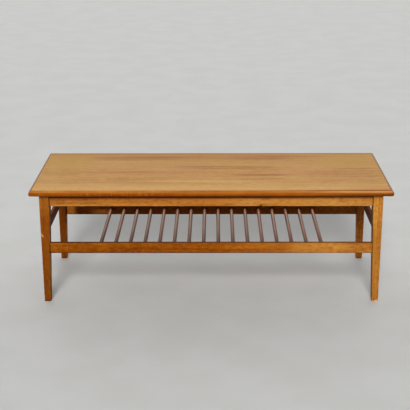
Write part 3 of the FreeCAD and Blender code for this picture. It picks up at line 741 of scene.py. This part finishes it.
def rail_finish(name, model, drifts, dark_back, arris_wear_and_highlight):
    """A rail's material and wood, with painted shade on its inner face, painted light near the ends of a
    rear rail, and pale arrises that are wear and partly a painted highlight, but not yet the lacquer.
    """
    material, place = new_finish(name)
    wood = Timber(place, "X", RAIL_PALE, RAIL_DEEP, RAIL_RED)
    low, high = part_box(model)
    along, across = axis(place, "X"), axis(place, "Y")
    waver = 0.4 * (noise(place, DRIFTS_A_METRE, 3.0) - 0.5)
    for pale, deep, strength, limits in drifts:
        wood.tint(pale, deep, strength * span(along + waver, limits))
    # painted shade on the inner face and the back of the top face, lifted by painted light where lit_share
    # says
    inner_shade = smooth(abs(across), abs(high.y) + dark_back, abs(high.y) + 0.6 * dark_back)
    lit = lit_share(wood, low)
    wood.stain(RAIL_INNER_SHADE, inner_shade * (0.92 - 0.8 * lit))
    wood.stain(RAIL_LIT, inner_shade * lit)
    wood.fleck(0.32)
    # pale arrises: wear, and partly a painted highlight, strongest on the apron
    arris_wear_and_glint(wood, from_arris(place, model, "YZ"), 0.0035, RAIL_WORN_AND_LIT, arris_wear_and_highlight)
    grime_and_shade(wood, high.x - abs(along), 0.0035, 0.75)
    return material, wood


# %% Aprons with painted shade under the top, and stretchers with painted shade along their lower edge
RAIL_SHADED, KNOCK_DARK = screen(84, 20, 0), screen(52, 30, 6)
SHADE_SOFT, SHADE_DEEP = (0.026, 0.016), (0.018, 0.008)
KNOCK_LEFT, KNOCK_RIGHT, KNOCK_WIDTH = 0.1580, 0.1710, 0.0046
UNDER_LINE = (0.0030, 0.0018)


def apron_finish():
    material, wood = rail_finish("apron_wood", "apron_front", APRON_DRIFTS, 0.003, 0.65)
    low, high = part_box("apron_front")
    along, across, height = axes(wood.place)
    depth = high.z - height + 0.003 * smooth(along, 0.10, 0.45)
    wood.stain(RAIL_SHADED, 0.14 * smooth(depth, *SHADE_SOFT) + 0.81 * smooth(depth, *SHADE_DEEP))
    ends = (KNOCK_LEFT, low.z - 0.003), (KNOCK_RIGHT, low.z + 0.006)
    knock = segment(wood.place, "XZ", *ends, KNOCK_WIDTH)
    wood.stain(KNOCK_DARK, 0.95 * knock * smooth(across, low.y + 0.004, low.y + 0.001))
    return wood.lacquered(material, level=0.06)


def stretcher_finish():
    material, wood = rail_finish("stretcher_wood", "stretcher_front", STRETCHER_DRIFTS, 0.012, 0.15)
    low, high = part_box("stretcher_front")
    along, across, height = axes(wood.place)
    # painted shade along the lower edge of the stretcher, stronger at the left
    grime_and_shade(wood, height - low.z, 0.006, 0.5 - 0.4 * smooth(along, 0.25, 0.45))
    wood.stain(GRIME_AND_SHADE, 0.48 * smooth(height - low.z, *UNDER_LINE))
    # painted shade on the back of the stretcher's top face, under the table top
    back = smooth(abs(across), abs(high.y) + 0.010, abs(high.y) + 0.006)
    wood.stain(GRIME_AND_SHADE, 0.6 * back * smooth(height, high.z - 0.002, high.z - 0.0005))
    return wood.lacquered(material, level=0.03)


dress(apron_finish(), ["apron_front", "apron_rear"])
dress(stretcher_finish(), ["stretcher_front", "stretcher_rear"])

# %% [markdown]
# ## The side rails
#
# The thin rails at the two ends run from front to back. They lie deep under the top, and their inner faces
# carry painted shade, the darkest of all. The finish of the long rails could be turned to serve here as
# well, but these have no drift along them, so a short finish of their own is plainer.

# %% Side rails
SIDE_PALE, SIDE_DEEP, SIDE_RED = screen(176, 108, 44), screen(144, 80, 24), screen(140, 70, 20)
SIDE_INNER_SHADE, SIDE_WORN = screen(84, 34, 2), screen(190, 130, 70)


def side_rail_finish():
    material, place = new_finish("side_rail_wood")
    wood = Timber(place, "Y", SIDE_PALE, SIDE_DEEP, SIDE_RED)
    low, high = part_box("side_rail_right")
    aside, along = axis(place, "X"), axis(place, "Y")
    # painted shade on the inner face
    wood.stain(SIDE_INNER_SHADE, 0.92 * smooth(abs(aside), low.x + 0.004, low.x + 0.001))
    arris_wear_and_glint(wood, from_arris(place, "side_rail_right", "XZ"), 0.0025, SIDE_WORN, 0.35)
    grime_and_shade(wood, high.y - abs(along), 0.004, 0.6)
    return wood.lacquered(material, level=0.02)


dress(side_rail_finish(), ["side_rail_left", "side_rail_right"])

# %% [markdown]
# ## The rack
#
# The sixteen rods are turned from a darker, pinker wood, and each is a little different. Sixteen materials
# could say so, but one is enough: it gives each rod a number, counted along the row, that picks its shade.
# A painted highlight runs along the top of each rod, stronger towards the rear, and painted shade lies on
# the side away from the light, on the front part under the apron, and near the rear stretcher.

# %% How far apart the rods are
RODS = sorted(name for name in nodes if name.startswith("rack_rod"))
rod_low, rod_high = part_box(RODS[0])
ROD_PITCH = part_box(RODS[1])[0].x - rod_low.x
ROD_WIDTH, ROD_MIDDLE = rod_high.x - rod_low.x, (rod_low.x + rod_high.x) / 2
print(len(RODS), "rods", round(ROD_PITCH * 1000, 1), "mm apart and", round(ROD_WIDTH * 1000, 1), "mm thick")

# %% Rods of the rack
ROD_PALE, ROD_DEEP, ROD_RED = screen(168, 106, 70), screen(124, 70, 42), screen(130, 66, 40)
ROD_DARKER, ROD_FRONT_SHADE, ROD_SHADED = screen(84, 42, 26), screen(92, 42, 20), screen(70, 30, 16)
ROD_UNDER_APRON_SHADE, ROD_HIGHLIGHT = screen(64, 28, 14), screen(252, 190, 146)
# where along a rod, from rear to front or from front to rear, a change starts and is full
FRONT_SHADE_RAMP, FRONT_HALF, FRONT_END, REAR_END = (0.08, -0.16), (-0.01, -0.06), (-0.12, -0.16), (0.08, 0.16)
HIGHLIGHT_GROWS = (0.0, 0.16)
ROD_CROWN = (0.004, 0.0005)


def rod_finish():
    material, place = new_finish("rod_wood")
    wood = Timber(place, "Y", ROD_PALE, ROD_DEEP, ROD_RED, 0.30)
    row, along, height = axes(place)
    number = (row - ROD_MIDDLE) / ROD_PITCH
    whole = number.sum("ROUND", number, 0.0)
    shade = place.node("ShaderNodeTexWhiteNoise", {"noise_dimensions": "1D"}, {"W": whole})
    wood.stain(ROD_DARKER, 0.45 * shade)
    aside = (number - whole) * (2 * ROD_PITCH / ROD_WIDTH)
    front_shade, left, rear = smooth(along, *FRONT_SHADE_RAMP), smooth(row, 0.35, -0.10), smooth(along, *REAR_END)
    # painted shade on the front part of each rod, under the apron, more on its right side
    wood.stain(ROD_FRONT_SHADE, 0.85 * front_shade * (0.55 + 0.45 * smooth(aside, -0.7, 0.1)))
    # painted shade on the right side of each rod, away from the light
    wood.stain(ROD_SHADED, (0.40 - 0.25 * rear + 0.45 * front_shade * left) * smooth(aside, 0.05, 0.75))
    # more painted shade towards the front ends, stronger on the rods at the left
    wood.stain(ROD_UNDER_APRON_SHADE, (0.12 + 0.38 * left) * smooth(along, *FRONT_HALF))
    wood.stain(ROD_UNDER_APRON_SHADE, (0.15 + 0.25 * left) * smooth(along, *FRONT_END))
    # a painted highlight along the top of each rod, stronger towards the rear and faint in front
    rod_highlight = smooth(height, *(rod_high.z - depth for depth in ROD_CROWN))
    rod_highlight = rod_highlight * smooth(abs(aside + 0.05), 0.60 + 0.30 * rear, 0.1)
    wood.stain(ROD_HIGHLIGHT, rod_highlight * (0.35 + 0.60 * smooth(along, *HIGHLIGHT_GROWS)) * (1 - 0.7 * front_shade))
    face = abs(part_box("stretcher_front")[1].y)
    grime_and_shade(wood, face - abs(along), 0.003, 0.6)
    # painted shade near the rear stretcher, where the rods run into its shadow
    grime_and_shade(wood, face - along, 0.012, 0.6)
    return wood.lacquered(material, level=0.05, coat=0.20 * (1 - 0.95 * front_shade))


dress(rod_finish(), RODS)

# %% [markdown]
# ## What is out of sight
#
# The underside was never meant to be seen: a plain veneer that keeps the board from warping, blocks of raw
# softwood that hold the top to the aprons, and pale dowels inside the joints. They could stay bare, but a
# table is also turned over, so they get the same wood in plainer colours and with a duller surface.

# %% Board, balancing veneer, blocks and dowels
BLOCKS = sorted(name for name in nodes if name.startswith("fixing_block"))
DOWELS = sorted(name for name in nodes if name.endswith("_dowels"))
HIDDEN = (
    ("core_board", screen(190, 150, 104), screen(160, 120, 80), ["top_core"]),
    ("balancing_veneer", screen(162, 108, 62), screen(128, 80, 44), ["under_veneer"]),
    ("block_wood", screen(214, 178, 126), screen(184, 142, 90), BLOCKS),
    ("dowel_wood", screen(220, 188, 142), screen(192, 154, 106), DOWELS),
)
for finish, pale, deep, names in HIDDEN:
    material, place = new_finish(finish)
    dress(Timber(place, "X", pale, deep, deep, 0.6).lacquered(material, level=0.15), names)

# %% [markdown]
# ## The screws
#
# Round-headed screws with a straight slot go up through each block into the top, and sideways into the
# apron. In the frame each is only a pin with a flat head. Here a screw starts as a cylinder the size of
# the head: one end is rounded by a bevel, the other is inset and drawn out to the shank and its point.
# The slot is cut by a thin box. One screw is modelled, then copied to every block and turned a little each
# time, because no one stops twelve slots at the same angle.

# %% Screw finish
STEEL_DULL, STEEL_BRIGHT, RUST = screen(128, 122, 112), screen(176, 170, 158), screen(112, 66, 34)
STEEL_CLOUDS_A_METRE, RUST_A_METRE = (900.0, 900.0, 900.0), (160.0, 160.0, 160.0)
RUST_RIM = (0.56, 0.70)


def steel_finish():
    material, place = new_finish("screw_steel")
    clouds = noise(place, STEEL_CLOUDS_A_METRE, 3.0)
    rust = smooth(noise(place, RUST_A_METRE, 4.0), *RUST_RIM)
    colour = blend(STEEL_DULL, STEEL_BRIGHT, smooth(clouds, *CLOUD_RIM))
    shader = place.node("ShaderNodeBsdfPrincipled", {}, {
        "Base Color": blend(colour, RUST, 0.6 * rust),
        "Roughness": 0.30 + 0.2 * clouds + 0.25 * rust, "Metallic": 1.0 - 0.7 * rust})
    place.node("ShaderNodeOutputMaterial", {}, {"Surface": shader})
    return material


STEEL = steel_finish()
dress(STEEL, ["top_screws", "apron_screws"])

# %% One slotted screw, its head at the origin and its point upwards
HEAD_RADIUS, SHANK_RADIUS = 0.004, 0.002
HEAD_SIDES, HEAD_ROUNDING, ROUNDING_STEPS = 32, 0.85, 6
SHANK_SHARE, POINT_SHARE, POINT_SIZE = 0.75, 0.25, 0.15
SLOT_WIDTH, SLOT_DEPTH = 0.0011, 0.0012
SMOOTH_ANGLE = math.radians(35)


def only(piece):
    """Select one object and nothing else."""
    bpy.ops.object.select_all(action="DESELECT")
    piece.select_set(True)
    bpy.context.view_layer.objects.active = piece


def select_faces(piece, chosen):
    """In edit mode, select the faces whose normal a test picks."""
    bpy.ops.mesh.select_all(action="DESELECT")
    bpy.ops.object.mode_set(mode="OBJECT")
    for face in piece.data.polygons:
        face.select = chosen(face.normal)
    bpy.ops.object.mode_set(mode="EDIT")


def draw_out(length):
    """Extrude the selected faces upwards."""
    bpy.ops.mesh.extrude_region_move(TRANSFORM_OT_translate={"value": (0, 0, length)})


def model_screw(head_height, length):
    """A screw with no slot yet: the head below the origin, the shank above it."""
    bpy.ops.object.select_all(action="DESELECT")
    bpy.ops.mesh.primitive_cylinder_add(
        vertices=HEAD_SIDES, radius=HEAD_RADIUS, depth=head_height, location=(0, 0, -head_height / 2))
    screw = bpy.context.object
    bpy.ops.object.transform_apply(location=True, rotation=False, scale=False)
    bpy.ops.object.mode_set(mode="EDIT")
    bpy.ops.mesh.select_mode(type="FACE")
    select_faces(screw, lambda normal: normal.z < -0.9)
    bpy.ops.mesh.bevel(offset=HEAD_ROUNDING * head_height, segments=ROUNDING_STEPS, affect="EDGES")
    select_faces(screw, lambda normal: normal.z > 0.9)
    bpy.ops.mesh.inset(thickness=HEAD_RADIUS - SHANK_RADIUS)
    draw_out(SHANK_SHARE * length)
    draw_out(POINT_SHARE * length)
    bpy.ops.transform.resize(value=(POINT_SIZE, POINT_SIZE, 1.0))
    bpy.ops.object.mode_set(mode="OBJECT")
    return screw


def cut_slot(screw, head_height):
    """Cut the slot across the head with a thin box, and smooth the round faces."""
    bpy.ops.mesh.primitive_cube_add(size=1.0, location=(0, 0, -head_height))
    cutter = bpy.context.object
    cutter.scale = (4 * HEAD_RADIUS, SLOT_WIDTH, 2 * SLOT_DEPTH)
    bpy.ops.object.transform_apply(location=True, rotation=False, scale=True)
    only(screw)
    slot = screw.modifiers.new("slot", "BOOLEAN")
    slot.operation, slot.object, slot.solver = "DIFFERENCE", cutter, "EXACT"
    bpy.ops.object.modifier_apply(modifier=slot.name)
    bpy.data.objects.remove(cutter)
    bpy.ops.object.shade_smooth_by_angle(angle=SMOOTH_ANGLE)


block_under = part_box(BLOCKS[0])[0].z
pin_low, pin_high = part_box("top_screws")
screw = model_screw(block_under - pin_low.z, pin_high.z - block_under)
cut_slot(screw, block_under - pin_low.z)
print("one screw of", len(screw.data.polygons), "faces")

# %% Screws up into the top and sideways into the aprons
BLOCK_ASIDE = 0.015
TURN_STEP, SIDEWAYS_TURN = math.radians(47), 1.0


def copy_screw(model, seat, tip, turn):
    """A copy of the screw with its own mesh, turned about its length, tipped over and put on its seat."""
    only(model)
    bpy.ops.object.duplicate(linked=False)
    copy = bpy.context.object
    copy.matrix_world = Matrix.Translation(seat) @ tip @ Matrix.Rotation(turn, 4, "Z")
    bpy.ops.object.transform_apply(location=True, rotation=True, scale=True)
    return copy


def join_screws(copies, name, node):
    """One piece of the copies, in the place of the frame's plain pins."""
    bpy.ops.object.select_all(action="DESELECT")
    for copy in copies:
        copy.select_set(True)
    bpy.context.view_layer.objects.active = copies[0]
    bpy.ops.object.join()
    piece = bpy.context.object
    piece.name = name
    piece.data.materials.clear()
    piece.data.materials.append(STEEL)
    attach(piece, "root")
    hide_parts(node)
    print(name, "has", len(piece.data.polygons), "faces")


upright, sideways = [], []
for number, name in enumerate(BLOCKS):
    low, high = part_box(name)
    middle = (low + high) / 2
    turn = number * TURN_STEP
    seat = Vector((middle.x + BLOCK_ASIDE, middle.y, low.z))
    upright.append(copy_screw(screw, seat, Matrix.Identity(4), turn))
    seat = Vector((middle.x - BLOCK_ASIDE, min(low.y, high.y, key=abs), middle.z))
    tip = Matrix.Rotation(-math.copysign(math.pi / 2, middle.y), 4, "X")
    sideways.append(copy_screw(screw, seat, tip, SIDEWAYS_TURN + turn))
bpy.data.objects.remove(screw)
join_screws(upright, "slotted_top_screws", "top_screws")
join_screws(sideways, "slotted_apron_screws", "apron_screws")
